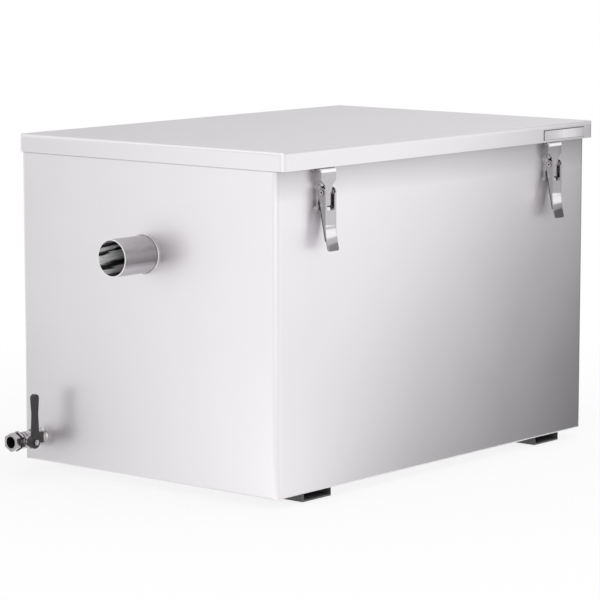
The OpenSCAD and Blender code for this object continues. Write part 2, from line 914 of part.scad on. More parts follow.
// Hanging basket: drawn box with a flat rim, holes through its walls and floor
module strainer_basket() {
  side = basket_r + strain_r;
  nx = floor((basket_l - 2 * side) / strain_p) + 1;
  ny = floor((basket_d - 2 * side) / strain_p) + 1;
  nz = floor((basket_h - 2 * side - 2 * wire_r) / strain_p) + 1;
  hz = basket_h / 2 - 2 * wire_r - strain_r;
  color([0.70, 0.70, 0.71])
  translate([basket_x, 0, basket_top - basket_h])
  difference() {
    union() {
      linear_extrude(basket_h)
        rrect(basket_l, basket_d, basket_r);
      translate([0, 0, basket_h - basket_t])
        linear_extrude(basket_t)
          rrect(basket_l + 2 * basket_lip, basket_d + 2 * basket_lip, basket_r + basket_lip);
    }
    translate([0, 0, basket_t])
      linear_extrude(basket_h)
        rrect(basket_l - 2 * basket_t, basket_d - 2 * basket_t, basket_r - basket_t);
    for (x = row(nx, strain_p), y = row(ny, strain_p))
      translate([x, y, -e])
        cylinder(r = strain_r, h = 4 * basket_t, $fn = 24);
    for (x = row(nx, strain_p), z = row(nz, strain_p))
      translate([x, 0, hz + z])
        rotate([90, 0, 0])
          cylinder(r = strain_r, h = basket_d + 2, center = true, $fn = 24);
    for (y = row(ny, strain_p), z = row(nz, strain_p))
      translate([0, y, hz + z])
        rotate([0, 90, 0])
          cylinder(r = strain_r, h = basket_l + 2, center = true, $fn = 24);
    translate([0, 0, basket_h - leg_h / 2])
      rotate([90, 0, 0])
        cylinder(r = wire_r, h = basket_d + 2, center = true);
  }
}

// Wire bail with its ends through the basket's walls
module basket_handle() {
  color([0.66, 0.66, 0.68])
  translate([basket_x, 0, basket_top]) {
    rotate([90, 0, 90])
      rotate_extrude(angle = 180)
        translate([bail_r, 0])
          circle(wire_r);
    for (s = [-1, 1]) {
      translate([0, s * bail_r, -leg_h / 2])
        cylinder(r = wire_r, h = leg_h / 2);
      translate([0, s * bail_r, -leg_h / 2])
        sphere(wire_r);
      translate([0, s * bail_r, -leg_h / 2])
        rotate([-s * 90, 0, 0])
          cylinder(r = wire_r, h = basket_d / 2 - bail_r + 2);
    }
  }
}

// Angle rail under the basket's rim, from the inlet wall
module basket_rail(s) {
  y0 = basket_d / 2 + 1;
  color([0.70, 0.70, 0.71])
  translate([-tank_w / 2 + sheet, 0, basket_top - basket_t])
    rotate([90, 0, 90])
      linear_extrude(rail_l)
        mirror([s < 0 ? 1 : 0, 0]) {
          translate([y0, -sheet])
            square([rail_leg, sheet]);
          translate([y0 + rail_leg - sheet, -rail_leg])
            square([sheet, rail_leg]);
        }
}

// Baffle plate with a finger slot at its top
module baffle(x) {
  h = baffle_z1 - guide_z0 - guide_t;
  color([0.75, 0.75, 0.76])
  translate([x - sheet / 2, 0, guide_z0 + guide_t])
    rotate([90, 0, 90])
      linear_extrude(sheet)
        difference() {
          translate([-baffle_w / 2, 0])
            square([baffle_w, h]);
          translate([0, h - slot_h])
            rrect(slot_w, slot_h, slot_h / 2 - 0.01);
        }
}

// Guide channel on the front (s = -1) or back (s = 1) wall, closed at its foot
module guide(x, s) {
  color([0.70, 0.70, 0.71])
  translate([x, s * (tank_d / 2 - sheet), guide_z0])
    mirror([0, s > 0 ? 1 : 0, 0])
    difference() {
      translate([-guide_w / 2, 0, 0])
        cube([guide_w, guide_d, baffle_z1 - guide_z0]);
      translate([-guide_w / 2 + guide_t, guide_t, guide_t])
        cube([guide_w - 2 * guide_t, guide_d, baffle_z1 - guide_z0]);
    }
}

baffle_x1 = -tank_w / 2 + baffle_in;
baffle_x2 = tank_w / 2 - baffle_out;

// The whole part stands with the middle of its footprint on the origin
module place() {
  translate([0, shift_y, 0])
    children();
}

place() tank();
place() foot(-1, -1);  // foot_front_left
place() foot(1, -1);  // foot_front_right
place() foot(-1, 1);  // foot_back_left
place() foot(1, 1);  // foot_back_right
place() inlet_pipe();
place() outlet_pipe();
place() lid();
place() lid_gasket();
place() blank_plate();
place() hinge_tank_leaf(-1);  // hinge_tank_leaf_left
place() hinge_tank_leaf(1);  // hinge_tank_leaf_right
place() hinge_lid_leaf(-1);  // hinge_lid_leaf_left
place() hinge_lid_leaf(1);  // hinge_lid_leaf_right
place() hinge_pin(-1);  // hinge_pin_left
place() hinge_pin(1);  // hinge_pin_right
place() latch_base(-1);  // latch_base_left
place() latch_base(1);  // latch_base_right
place() fulcrum_rivet(-1, -1);  // left_latch_rivet_left
place() fulcrum_rivet(-1, 1);  // left_latch_rivet_right
place() fulcrum_rivet(1, -1);  // right_latch_rivet_left
place() fulcrum_rivet(1, 1);  // right_latch_rivet_right
place() latch_lever(-1);  // latch_lever_left
place() latch_lever(1);  // latch_lever_right
place() hook_pin(-1);  // hook_pin_left
place() hook_pin(1);  // hook_pin_right
place() latch_hook(-1);  // latch_hook_left
place() latch_hook(1);  // latch_hook_right
place() lid_catch(-1);  // lid_catch_left
place() lid_catch(1);  // lid_catch_right
place() drain_socket();
place() valve_body();
place() valve_end();
place() seat_inner();
place() seat_outer();
place() valve_ball();
place() valve_stem();
place() packing_nut();
place() drain_lever();
place() lever_nut();
place() strainer_basket();
place() basket_handle();
place() basket_rail(-1);  // basket_rail_front
place() basket_rail(1);  // basket_rail_back
place() baffle(baffle_x1);  // inlet_baffle
place() baffle(baffle_x2);  // outlet_baffle
place() guide(baffle_x1, -1);  // inlet_guide_front
place() guide(baffle_x1, 1);  // inlet_guide_back
place() guide(baffle_x2, -1);  // outlet_guide_front
place() guide(baffle_x2, 1);  // outlet_guide_back
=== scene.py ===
"""Dressed grease trap: satin steel tank, lid, latches, valve and feet on a pale studio floor.

Lengths are metres in the row frame: X along the tank, Y from front to back, Z up.
"""
import math

import bpy
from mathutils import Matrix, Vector


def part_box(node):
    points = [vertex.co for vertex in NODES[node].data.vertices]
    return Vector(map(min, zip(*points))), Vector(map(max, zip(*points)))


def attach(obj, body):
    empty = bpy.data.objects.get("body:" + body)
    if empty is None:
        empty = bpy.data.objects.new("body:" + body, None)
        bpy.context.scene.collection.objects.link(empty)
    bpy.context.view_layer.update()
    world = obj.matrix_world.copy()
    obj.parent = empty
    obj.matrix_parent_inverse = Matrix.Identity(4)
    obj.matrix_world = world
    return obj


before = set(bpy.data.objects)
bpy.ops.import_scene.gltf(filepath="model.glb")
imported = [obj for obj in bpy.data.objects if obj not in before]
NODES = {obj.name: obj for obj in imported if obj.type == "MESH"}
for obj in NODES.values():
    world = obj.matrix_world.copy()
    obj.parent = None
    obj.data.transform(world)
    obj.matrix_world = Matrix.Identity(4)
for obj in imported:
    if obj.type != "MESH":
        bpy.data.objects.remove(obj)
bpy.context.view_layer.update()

scene = bpy.context.scene

# Faces and edges of the tank that other places are counted from
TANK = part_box("tank")
MID = (TANK[0][1] + TANK[1][1]) / 2
FRONT_Y, BACK_Y = MID - 0.232, MID + 0.232
LEFT_X = -0.350
RIM_Z = 0.445

# Axes along X of the stubs and the drain, as Y and Z, with the radii of their bores
INLET, OUTLET, DRAIN = (MID, 0.320), (MID, 0.290), (MID + 0.197, 0.048)
STUB_BORE, DRAIN_BORE = 0.0240, 0.0080

# Root and end of a stub along X, counted from the middle of the tank
STUB_ROOT, STUB_END = 0.354, 0.414

# Heights between which the hook plate bends over, where the painted highlight on its bend fades in
HOOK_BEND = (0.4378, 0.4388)

# Camera fitted to the photograph
CAM = Vector((-3.2659, MID - 2.6976, 0.8088))
YAW, PITCH = math.radians(50.24), math.radians(7.91)
AIM = Vector((math.sin(YAW) * math.cos(PITCH), math.cos(YAW) * math.cos(PITCH), -math.sin(PITCH)))
SENSOR_MM, LENS_MM = 36.0, 178.74


def look(obj, direction):
    """Turns a camera or lamp to look along a direction."""
    obj.rotation_mode = "QUATERNION"
    obj.rotation_quaternion = direction.to_track_quat("-Z", "Y")


def make_camera():
    data = bpy.data.cameras.new("camera")
    data.sensor_width = SENSOR_MM
    data.lens = LENS_MM
    data.clip_end = 60
    cam = bpy.data.objects.new("camera", data)
    cam.location = CAM
    look(cam, AIM)
    scene.collection.objects.link(cam)
    scene.camera = cam


# Node helpers
class Tree:
    """Short calls for building one node tree. Values may be plain or the outputs of other nodes."""

    def __init__(self, owner):
        owner.use_nodes = True
        self.t = owner.node_tree
        self.t.nodes.clear()

    def add(self, kind, **values):
        n = self.t.nodes.new(kind)
        for k, v in values.items():
            setattr(n, k, v)
        return n

    def feed(self, socket, value):
        if hasattr(value, "is_output"):
            self.t.links.new(value, socket)
        else:
            socket.default_value = value

    def put(self, n, **inputs):
        """Feeds a node's inputs by their names, with _ for a space."""
        for k, v in inputs.items():
            self.feed(n.inputs[k.replace("_", " ")], v)
        return n

    def surface(self, shader, kind="ShaderNodeOutputMaterial"):
        self.put(self.add(kind), Surface=shader)

    def math(self, op, a, b=0.0):
        n = self.add("ShaderNodeMath", operation=op)
        self.feed(n.inputs[0], a)
        self.feed(n.inputs[1], b)
        return n.outputs[0]

    def ramp(self, fac, stops):
        """Colours or grey levels at places from 0 to 1."""
        n = self.add("ShaderNodeValToRGB")
        e = n.color_ramp.elements
        while len(e) < len(stops):
            e.new(0.5)
        for s, (pos, col) in zip(e, stops):
            s.position = pos
            s.color = (*col, 1) if hasattr(col, "__len__") else (col, col, col, 1)
        return self.put(n, Fac=fac).outputs["Color"]

    def range(self, v, lo, hi, a=0.0, b=1.0):
        """Straight line from lo at a to hi at b, held beyond both."""
        n = self.add("ShaderNodeMapRange")
        self.put(n, Value=v, From_Min=a, From_Max=b, To_Min=lo, To_Max=hi)
        return n.outputs["Result"]

    def blend(self, fac, a, b, mode="MIX"):
        n = self.add("ShaderNodeMix", data_type="RGBA", blend_type=mode)
        a, b = (v if hasattr(v, "is_output") else (*v, 1) for v in (a, b))
        return self.put(n, Factor=fac, A=a, B=b).outputs["Result"]

    def shade(self, colour, level):
        return self.blend(1.0, colour, level, "MULTIPLY")

    def split(self, kind):
        """X, Y and Z of a texture coordinate. Object gives the place in the row frame."""
        n = self.add("ShaderNodeSeparateXYZ")
        self.put(n, Vector=self.add("ShaderNodeTexCoord").outputs[kind])
        return n.outputs["X"], n.outputs["Y"], n.outputs["Z"]

    def round_x(self, y, z):
        """Distance from an axis along X, and angle about it."""
        _, py, pz = self.split("Object")
        dy, dz = self.math("SUBTRACT", py, y), self.math("SUBTRACT", pz, z)
        square = self.math("ADD", self.math("MULTIPLY", dy, dy), self.math("MULTIPLY", dz, dz))
        return self.math("SQRT", square), self.math("ARCTAN2", dy, dz)

    def noise(self, stretch, size, detail=3.0, rough=0.5):
        at = self.add("ShaderNodeMapping")
        self.put(at, Vector=self.add("ShaderNodeTexCoord").outputs["Object"], Scale=stretch)
        n = self.add("ShaderNodeTexNoise")
        self.put(n, Vector=at.outputs["Vector"], Scale=size, Detail=detail, Roughness=rough)
        return n.outputs["Fac"]

    def bump(self, height, strength, depth):
        n = self.add("ShaderNodeBump")
        return self.put(n, Height=height, Strength=strength, Distance=depth)


# Painted reflection bands round the outside of a drawn tube, by share of a turn from the bottom
TUBE_REFLECTION_BANDS = [(0.0, 0.66), (0.10, 0.76), (0.159, 0.89), (0.190, 0.68), (0.215, 0.46), (0.265, 0.57),
              (0.312, 0.60), (0.336, 0.85), (0.361, 0.98), (0.389, 1.0), (0.42, 0.98), (0.465, 0.80),
              (0.60, 0.62), (1.0, 0.66)]

# Painted reflection streaks in its bore, from the top down to the bottom
BORE_REFLECTION_STREAKS = [(0.0, 0.5), (0.05, 0.02), (0.17, 0.02), (0.21, 0.6), (0.24, 0.02), (0.32, 0.02),
              (0.36, 0.8), (0.41, 0.9), (0.43, 0.03), (0.475, 0.03), (0.50, 0.85), (0.62, 1.0),
              (0.66, 0.2), (0.69, 0.02), (0.75, 0.03), (0.79, 0.75), (0.85, 0.6), (0.90, 0.02), (1.0, 0.02)]


# Paints, which change a steel's colour and how metallic it is; each one paints light or shade into it
def painted_shade_lip(t, colour, metallic):
    """Painted shade on the front wall below the lid's overhanging lip, and a painted dark shadow line at
    the rim.
    """
    _, y, z = t.split("Object")
    high = t.range(z, 0.0, 0.34, RIM_Z - 0.042, RIM_Z)
    front = t.range(y, 0.0, 1.0, FRONT_Y + 0.0063, FRONT_Y + 0.0005)
    level = t.math("SUBTRACT", 1.0, t.math("MULTIPLY", high, front))
    # Painted shadow line just below the rim, all round the tank
    rim = t.math("ABSOLUTE", t.math("SUBTRACT", z, RIM_Z - 0.0004))
    level = t.math("MULTIPLY", level, t.range(rim, 0.66, 1.0, 0.0006, 0.0016))
    return t.shade(colour, level), metallic


def painted_tube_light(y, z, r):
    """Painted reflection bands round the outside of a pipe with painted shade towards its root, painted
    reflection streaks along its inside, and a painted highlight on its cut end.
    """
    def paint(t, colour, metallic):
        dist, angle = t.round_x(y, z)
        x, _, _ = t.split("Object")
        out = t.math("ABSOLUTE", x)
        vec = t.add("ShaderNodeCombineXYZ")
        t.put(vec, X=t.math("MULTIPLY", angle, 5.0), Y=t.math("MULTIPLY", x, 22.0))
        n = t.add("ShaderNodeTexNoise")
        uneven = t.put(n, Vector=vec.outputs["Vector"], Scale=1.6, Detail=3.0).outputs["Fac"]
        wander = t.range(uneven, -0.03, 0.03, 0.3, 0.7)
        lean = t.range(out, 0.11, 0.0, STUB_ROOT, STUB_END)
        half = t.math("DIVIDE", t.math("ABSOLUTE", angle), math.pi)
        half = t.math("ADD", half, t.math("ADD", wander, lean))
        bore_streaks = t.shade(t.ramp(half, BORE_REFLECTION_STREAKS), t.range(uneven, 0.7, 1.15, 0.3, 0.6))
        turn = t.range(angle, 0.0, 1.0, -math.pi, math.pi)
        turn = t.math("ADD", turn, t.math("MULTIPLY", wander, 0.3))
        colour = t.shade(colour, t.ramp(turn, TUBE_REFLECTION_BANDS))
        # Painted shade, darker towards the root of the stub
        colour = t.shade(colour, t.range(out, 0.86, 1.04, STUB_ROOT - 0.001, STUB_END - 0.009))
        inside = t.range(dist, 1.0, 0.0, r + 0.0001, r + 0.0004)
        colour = t.blend(inside, colour, bore_streaks)
        # Painted highlight on the cut end, pale and less metallic
        cut = t.range(out, 0.0, 1.0, STUB_END - 0.0006, STUB_END - 0.0002)
        bare = t.math("MULTIPLY", t.math("MAXIMUM", inside, cut), 0.95)
        return t.blend(cut, colour, (0.90, 0.87, 0.90)), t.math("SUBTRACT", metallic, bare)
    return paint


def dark_bore(y, z, r):
    """Unlit thread inside a mouth."""
    def paint(t, colour, metallic):
        dist, _ = t.round_x(y, z)
        return t.shade(colour, t.range(dist, 0.05, 1.0, r + 0.0001, r + 0.0005)), metallic
    return paint


def bend_highlight(z0, z1):
    """Painted highlight on the hook's top bend, pale and less metallic."""
    def paint(t, colour, metallic):
        _, _, z = t.split("Object")
        top = t.range(z, 0.0, 1.0, z0, z1)
        return t.blend(top, colour, (0.97, 0.95, 0.97)), t.range(top, metallic, 0.1)
    return paint


def painted_light_back(t, colour, metallic):
    """Painted light on the face on the wall side of a latch piece, so that the wall mirrors it paler."""
    _, back, _ = t.split("Normal")
    return t.blend(t.range(back, 0.0, 1.0, 0.3, 0.7), colour, (0.93, 0.91, 0.93)), metallic


def sheen(x0, x1):
    """Soft bright sheen in the middle of a polished plate between two ends along X."""
    def paint(t, colour, metallic):
        x, _, _ = t.split("Object")
        along = t.range(x, 0.0, 1.0, x0, x1)
        clear = t.ramp(along, [(0.0, 1.0), (0.2, 0.75), (0.5, 0.35), (0.75, 0.45), (1.0, 0.85)])
        return t.blend(clear, (0.92, 0.90, 0.92), colour), t.math("MULTIPLY", clear, metallic)
    return paint


def painted_shade_cheek(t, colour, metallic):
    """Painted shade on the sides of a latch lever, with a painted dark line of shade along their rear edge.
    """
    side, _, _ = t.split("Normal")
    side = t.range(t.math("ABSOLUTE", side), 0.0, 1.0, 0.6, 0.9)
    _, y, z = t.split("Object")
    rear = t.range(z, FRONT_Y - 0.0150, FRONT_Y - 0.0025, 0.348, 0.410)
    line = t.range(t.math("SUBTRACT", rear, y), 0.05, 0.68, 0.0009, 0.0017)
    return t.shade(colour, t.blend(side, (1.0, 1.0, 1.0), line)), metallic


# Materials
def steel(name, tint, rough, grain, streak=0.05, bump=0.3, smudge=0.06, spread=0.05,
          crevice_shade=0.0, reach=0.03, edge=0.0, coat=0.0, paints=()):
    """Stainless steel. grain is the noise scale along X, Y and Z, small along the rolling direction.
    streak and spread vary colour and roughness by the grain, smudge varies roughness by wiped patches,
    crevice_shade paints shade that darkens corners narrower than reach, edge rounds the light on sharp
    edges."""
    mat = bpy.data.materials.new(name)
    t = Tree(mat)
    p = t.add("ShaderNodeBsdfPrincipled")
    fine = t.noise(grain, 1.0, 4.0, 0.6)
    coarse = t.noise(tuple(g * 0.22 for g in grain), 1.0, 2.0, 0.5)
    lines = t.math("ADD", t.math("MULTIPLY", fine, 0.65), t.math("MULTIPLY", coarse, 0.35))
    cloud = t.noise((1, 1, 1), 5.5, 3.0, 0.55)
    wipe = t.noise((1, 1, 0.4), 21.0, 4.0, 0.6)
    dark = [c * (1 - streak * 0.7) for c in tint]
    light = [min(1.0, c * (1 + streak * 0.5)) for c in tint]
    colour = t.ramp(lines, [(0.3, dark), (0.5, tint), (0.7, light)])
    metallic = 1.0
    for paint in paints:
        colour, metallic = paint(t, colour, metallic)
    # Painted shade: corners that ambient occlusion finds narrower than reach are darkened
    if crevice_shade:
        ao = t.put(t.add("ShaderNodeAmbientOcclusion", samples=6), Distance=reach)
        colour = t.shade(colour, t.range(ao.outputs["AO"], 1 - crevice_shade, 1.0, 0.15, 0.95))
    if coat:
        t.put(p, Coat_Weight=coat, Coat_Roughness=0.09)
    r = t.range(lines, rough - spread, rough + spread, 0.3, 0.7)
    r = t.math("ADD", r, t.range(cloud, -smudge, smudge, 0.3, 0.7))
    r = t.math("ADD", r, t.range(wipe, -smudge * 0.4, smudge * 0.4, 0.3, 0.7))
    b = t.bump(lines, bump, 0.00004)
    if edge:
        bevel = t.put(t.add("ShaderNodeBevel", samples=4), Radius=edge)
        t.put(b, Normal=bevel.outputs["Normal"])
    t.put(p, Base_Color=colour, Metallic=metallic, Roughness=r, Normal=b.outputs["Normal"])
    t.surface(p.outputs["BSDF"])
    return mat


def dull(name, tint, rough, grain=900.0, bump=0.25, vary=0.25):
    """Moulded rubber or plastic with a fine grain and paler, worn patches."""
    mat = bpy.data.materials.new(name)
    t = Tree(mat)
    p = t.add("ShaderNodeBsdfPrincipled")
    fine = t.noise((1, 1, 1), grain, 3.0, 0.6)
    cloud = t.noise((1, 1, 1), grain * 0.06, 4.0, 0.6)
    mix = t.math("ADD", t.math("MULTIPLY", fine, 0.4), t.math("MULTIPLY", cloud, 0.6))
    lo = [c * (1 - vary) for c in tint]
    hi = [min(1.0, c * (1 + vary)) for c in tint]
    b = t.bump(fine, bump, 0.00006)
    t.put(p, Base_Color=t.ramp(mix, [(0.32, lo), (0.5, tint), (0.68, hi)]), Metallic=0.0,
          Roughness=t.range(mix, rough - 0.08, rough + 0.1, 0.3, 0.7), Normal=b.outputs["Normal"])
    t.surface(p.outputs["BSDF"])
    return mat


def dress(mat, *names):
    for n in names:
        slots = NODES[n].data.materials
        slots.clear()
        slots.append(mat)


# Tints, and values that several steels share
SATIN = (0.80, 0.776, 0.80)
TUBE = (0.56, 0.543, 0.56)
ALONG_X = (30, 700, 700)
SHEET = dict(streak=0.012, bump=0.03, smudge=0.03, spread=0.015)
# The latch steel paints shade into its corners, and so do the hinge and plated steels
LATCH = dict(tint=(0.46, 0.446, 0.46), rough=0.10, grain=ALONG_X, streak=0.05, bump=0.10, smudge=0.02,
             spread=0.03, crevice_shade=0.7, reach=0.0025, edge=0.0003)
PLATE_ENDS = [end[0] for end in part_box("blank_plate")]

wall = steel("steel_wall", SATIN, 0.40, (7, 7, 1700), coat=0.8, paints=[painted_shade_lip], **SHEET)
top = steel("steel_lid", SATIN, 0.38, (7, 1700, 1700), **SHEET)
inner = steel("steel_inside", (0.72, 0.70, 0.72), 0.34, (900, 40, 40), streak=0.08)
polish = steel("steel_polished", paints=[painted_light_back], **LATCH)
lever = steel("steel_lever", paints=[painted_shade_cheek, painted_light_back], **LATCH)
hook = steel("steel_hook", paints=[painted_light_back, bend_highlight(*HOOK_BEND)], **LATCH)
hinge = steel("steel_hinge", (0.60, 0.582, 0.60), 0.22, ALONG_X, streak=0.08, bump=0.15, smudge=0.04,
              spread=0.04, crevice_shade=0.35, reach=0.006, edge=0.0003)
plate = steel("steel_plate", SATIN, 0.18, ALONG_X, streak=0.04, bump=0.10, smudge=0.03, spread=0.03,
              edge=0.0003, paints=[sheen(*PLATE_ENDS)])
plated = steel("plated_brass", (0.56, 0.54, 0.55), 0.15, (260, 260, 260), streak=0.08, bump=0.2,
               smudge=0.04, crevice_shade=0.75, reach=0.006, edge=0.0004, paints=[dark_bore(*DRAIN, DRAIN_BORE)])
bead = steel("weld_bead", (0.62, 0.60, 0.62), 0.24, (300, 300, 300), streak=0.1)
rubber = dull("black_rubber", (0.105, 0.100, 0.105), 0.55, vary=0.3)
black = dull("black_lever", (0.022, 0.0205, 0.022), 0.40, grain=1400.0, bump=0.2)
seat = dull("white_seat", (0.82, 0.82, 0.79), 0.5, vary=0.05)
# Dark material of the plate's painted shadow line
plate_shadow = dull("plate_shadow_line", (0.05, 0.048, 0.05), 0.6, grain=1200.0)

for pipe, tube, pipe_axis in (("inlet_pipe", "steel_tube_in", INLET),
                              ("outlet_pipe", "steel_tube_out", OUTLET)):
    dress(steel(tube, TUBE, 0.25, (1300, 24, 24), streak=0.10, bump=0.15, smudge=0.04, spread=0.03,
                edge=0.0006, paints=[painted_tube_light(*pipe_axis, STUB_BORE)]), pipe)
dress(wall, "tank")
dress(top, "lid")
dress(inner, "strainer_basket", "basket_handle", "basket_rail_front", "basket_rail_back",
      "inlet_baffle", "outlet_baffle", "inlet_guide_front", "inlet_guide_back",
      "outlet_guide_front", "outlet_guide_back")
dress(plate, "blank_plate")
dress(hook, "latch_hook_left", "latch_hook_right")
dress(lever, "latch_lever_left", "latch_lever_right")
dress(polish, "hook_pin_left", "hook_pin_right", "left_latch_rivet_left", "left_latch_rivet_right",
      "right_latch_rivet_left", "right_latch_rivet_right", "latch_base_left", "latch_base_right",
      "lid_catch_left", "lid_catch_right")
dress(hinge, "hinge_tank_leaf_left", "hinge_tank_leaf_right", "hinge_lid_leaf_left",
      "hinge_lid_leaf_right", "hinge_pin_left", "hinge_pin_right")
dress(plated, "drain_socket", "valve_body", "valve_end", "valve_ball", "valve_stem", "packing_nut",
      "lever_nut")
dress(rubber, "foot_front_left", "foot_front_right", "foot_back_left", "foot_back_right", "lid_gasket")
dress(black, "drain_lever")
dress(seat, "seat_inner", "seat_outer")


# Small pieces
def piece(name, verts, faces, mat, body, smooth=True):
    me = bpy.data.meshes.new(name)
    me.from_pydata(verts, [], faces)
    me.polygons.foreach_set("use_smooth", [smooth] * len(me.polygons))
    me.materials.append(mat)
    o = bpy.data.objects.new(name, me)
    scene.collection.objects.link(o)
    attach(o, body)


def node_box(name):
    pts = [v.co for v in NODES[name].data.vertices]
    return [min(p[i] for p in pts) for i in range(3)], [max(p[i] for p in pts) for i in range(3)]


def ring_x(name, x, axis, major, minor, mat, slot, waves=0, n=240, m=10):
    """A bead round an axis along X, of n steps round and m about. waves gives it the ripples of a weld."""
    verts, faces = [], []
    for i in range(n):
        a = math.tau * i / n
        r = minor * (1 + (0.22 * abs(math.sin(waves * a / 2)) if waves else 0))
        for j in range(m):
            b = math.tau * j / m
            q = major + r * math.cos(b)
            verts.append((x + r * math.sin(b), axis[0] + q * math.sin(a), axis[1] + q * math.cos(a)))
    for i in range(n):
        for j in range(m):
            k, l = (i + 1) % n, (j + 1) % m
            faces.append((i * m + j, i * m + l, k * m + l, k * m + j))
    piece(name, verts, faces, mat, "trap")


BOX_FACES = ((0, 1, 3, 2), (4, 6, 7, 5), (0, 4, 5, 1), (2, 3, 7, 6), (0, 2, 6, 4), (1, 5, 7, 3))


def block(verts, faces, lo, hi):
    """Adds a box between two corners."""
    k = len(verts)
    verts += [(x, y, z) for x in (lo[0], hi[0]) for y in (lo[1], hi[1]) for z in (lo[2], hi[2])]
    faces += [tuple(k + i for i in f) for f in BOX_FACES]


def rivets(name, points, body, r=0.0034, h=0.0013, n=20, m=6):
    """Low domed rivet heads, of radius r and height h, on a face that looks along +Y."""
    verts, faces = [], []
    for x, y, z in points:
        k = len(verts)
        for j in range(m):
            a = math.pi / 2 * j / m
            q = r * math.cos(a)
            for i in range(n):
                b = math.tau * i / n
                verts.append((x + q * math.sin(b), y + h * math.sin(a), z + q * math.cos(b)))
        verts.append((x, y + h, z))
        for j in range(m - 1):
            row = k + j * n
            for i in range(n):
                l = (i + 1) % n
                faces.append((row + i, row + l, row + n + l, row + n + i))
        last = k + (m - 1) * n
        faces += [(last + i, last + (i + 1) % n, k + m * n) for i in range(n)]
        faces.append(tuple(k + i for i in reversed(range(n))))
    piece(name, verts, faces, hinge, body)


def make_hinge_rivets():
    leaf_face, pitch = 0.002, 0.023
    for end in ("left", "right"):
        for part, body in (("lid", "lid_assembly"), ("tank", "trap")):
            lo, hi = node_box("hinge_%s_leaf_%s" % (part, end))
            x, y = (lo[0] + hi[0]) / 2, lo[1] + leaf_face
            z = hi[2] - 0.0068 if part == "lid" else lo[2] + 0.0078
            rivets("hinge_rivets_%s_%s" % (part, end), [(x + d, y, z) for d in (-pitch, 0.0, pitch)], body)


def make_beads():
    weld_x, weld = 0.3507, dict(major=0.0262, minor=0.0011, mat=bead, slot="stainless_satin", waves=76)
    ring_x("inlet_weld", -weld_x, INLET, **weld)
    ring_x("outlet_weld", weld_x, OUTLET, **weld)
    mouth_x, pitch = -0.4095, 0.0016
    for i in range(5):
        ring_x("drain_thread_%d" % i, mouth_x + pitch * i, DRAIN, DRAIN_BORE, 0.00035, plated,
               "plated_brass", n=64, m=6)


def make_plate_shadow():
    """Dark rim round the plate, a painted shadow line, wide at the left and top and thin at the right and
    bottom.
    """
    lo, hi = node_box("blank_plate")
    w, thin_right, thin_low, thick = 0.0011, 0.4, 0.3, 0.0004
    y0, y1 = hi[1], hi[1] - thick
    verts, faces = [], []
    block(verts, faces, (lo[0] - w, y1, lo[2] - w), (lo[0], y0, hi[2] + w))
    block(verts, faces, (hi[0], y1, lo[2] - w), (hi[0] + w * thin_right, y0, hi[2] + w))
    block(verts, faces, (lo[0], y1, hi[2]), (hi[0], y0, hi[2] + w))
    block(verts, faces, (lo[0], y1, lo[2] - w * thin_low), (hi[0], y0, lo[2]))
    piece("plate_shadow_line", verts, faces, plate_shadow, "lid_assembly", smooth=False)


make_hinge_rivets()
make_beads()
make_plate_shadow()


# Studio
def make_world():
    world = bpy.data.worlds.new("studio")
    scene.world = world
    t = Tree(world)
    _, _, height = t.split("Generated")
    up = t.range(height, 0, 1, -0.2, 1.0)
    sky = t.ramp(up, [(0.0, 1.0), (0.35, 1.0), (0.7, 0.80), (1.0, 0.70)])
    seen = t.add("ShaderNodeLightPath").outputs["Is Camera Ray"]
    bg = t.put(t.add("ShaderNodeBackground"), Color=t.blend(seen, sky, (1, 1, 1)), Strength=1.0)
    t.surface(bg.outputs["Background"], "ShaderNodeOutputWorld")


def make_floor():
    """Pale floor that keeps the object's shadow and fades to white far from it."""
    s, z = 14.0, -0.0003
    me = bpy.data.meshes.new("floor")
    me.from_pydata([(-s, -s, z), (s, -s, z), (s, s, z), (-s, s, z)], [], [(0, 1, 2, 3)])
    floor = bpy.data.objects.new("floor", me)
    scene.collection.objects.link(floor)
    mat = bpy.data.materials.new("floor")
    t = Tree(mat)
    grain = t.noise((1, 1, 1), 60.0, 3.0)
    d = t.put(t.add("ShaderNodeBsdfDiffuse"), Color=t.ramp(grain, [(0.3, 0.94), (0.7, 0.97)]))
    e = t.put(t.add("ShaderNodeEmission"), Strength=1.0)
    away = t.add("ShaderNodeVectorMath", operation="LENGTH")
    t.feed(away.inputs[0], t.add("ShaderNodeTexCoord").outputs["Object"])
    far = t.range(away.outputs["Value"], 0.78, 1.0, 0.5, 1.2)
    path = t.add("ShaderNodeLightPath")
    seen = t.math("MAXIMUM", path.outputs["Is Camera Ray"], path.outputs["Is Glossy Ray"])
    seen = t.math("MAXIMUM", seen, path.outputs["Is Transmission Ray"])
    mix = t.put(t.add("ShaderNodeMixShader"), Fac=t.math("MULTIPLY", far, seen))
    t.feed(mix.inputs[1], d.outputs["BSDF"])
    t.feed(mix.inputs[2], e.outputs["Emission"])
    t.surface(mix.outputs["Shader"])
    me.materials.append(mat)


